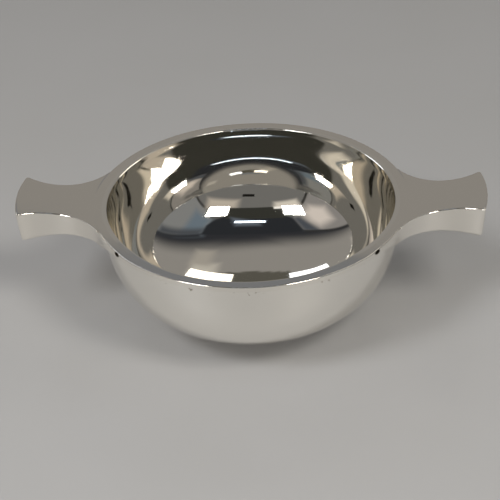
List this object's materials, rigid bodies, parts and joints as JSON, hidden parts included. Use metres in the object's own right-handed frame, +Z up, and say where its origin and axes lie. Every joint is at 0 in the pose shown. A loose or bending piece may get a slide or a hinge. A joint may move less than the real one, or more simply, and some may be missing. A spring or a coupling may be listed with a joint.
{
  "type": "quaich",
  "caption": "Shallow round silver drinking bowl with a flat thickened rim and a flat fishtail lug standing out level with the rim on opposite sides.",
  "frame": {"origin": "middle of the small flat that the bowl stands on", "axes": "+X along the lugs, +Y across the bowl, away from the picture's viewer, +Z up"},
  "size_m": [0.113, 0.076, 0.0333],
  "materials": {
    "bowl_silver": "spun and polished sterling silver, softened by handling",
    "rim_silver": "filed and polished sterling silver with fine wear on the top face",
    "lug_silver": "flat polished sterling silver with fine wear and soft edges"
  },
  "bodies": {
    "root": {"bowl": "bowl_silver", "rim_wire": "rim_silver", "left_lug_plate": "lug_silver", "left_lug_pan": "lug_silver", "right_lug_plate": "lug_silver", "right_lug_pan": "lug_silver"}
  },
  "joints": []
}
